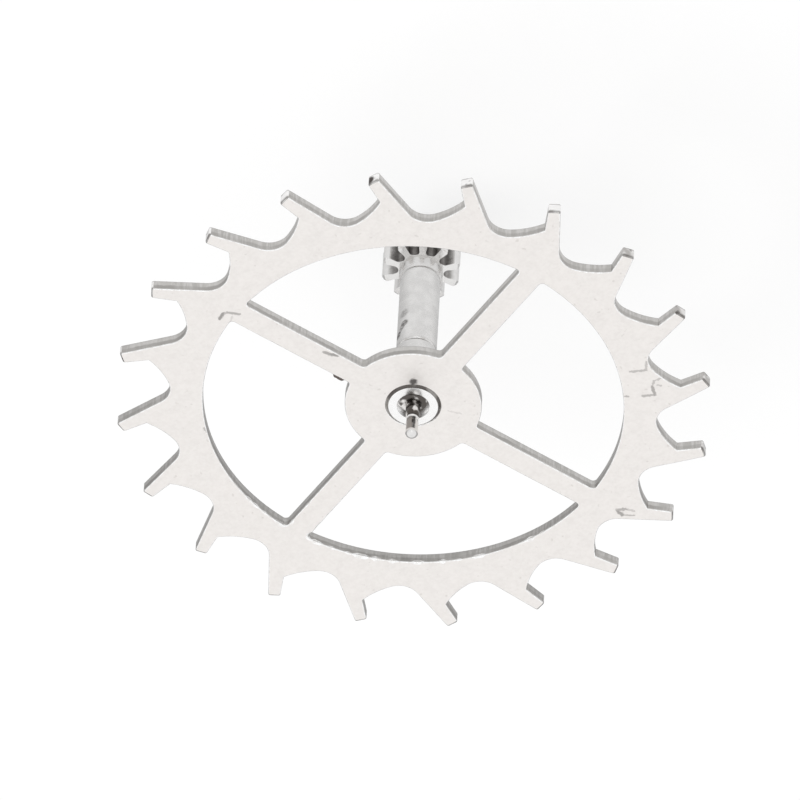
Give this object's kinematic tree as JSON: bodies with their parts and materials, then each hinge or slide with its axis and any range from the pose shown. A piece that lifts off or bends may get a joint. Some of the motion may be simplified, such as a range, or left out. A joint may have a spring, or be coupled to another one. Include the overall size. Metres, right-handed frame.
{
  "type": "escape wheel",
  "caption": "Spoked club-tooth escape wheel riveted on a slim pivoted arbor with a small pinion near its far end.",
  "frame": {"origin": "centre of the lower pivot's shoulder, where the pivot leaves the arbor on the pinion's side", "axes": "+Z along the arbor from the pinion to the wheel, +X along the middle of one spoke"},
  "size_m": [0.005, 0.005, 0.0028],
  "materials": {
    "wheel_steel": "fine satin",
    "pinion_steel": "polished"
  },
  "bodies": {
    "root": {"escape_wheel": "wheel_steel", "escape_pinion": "pinion_steel"}
  },
  "joints": []
}
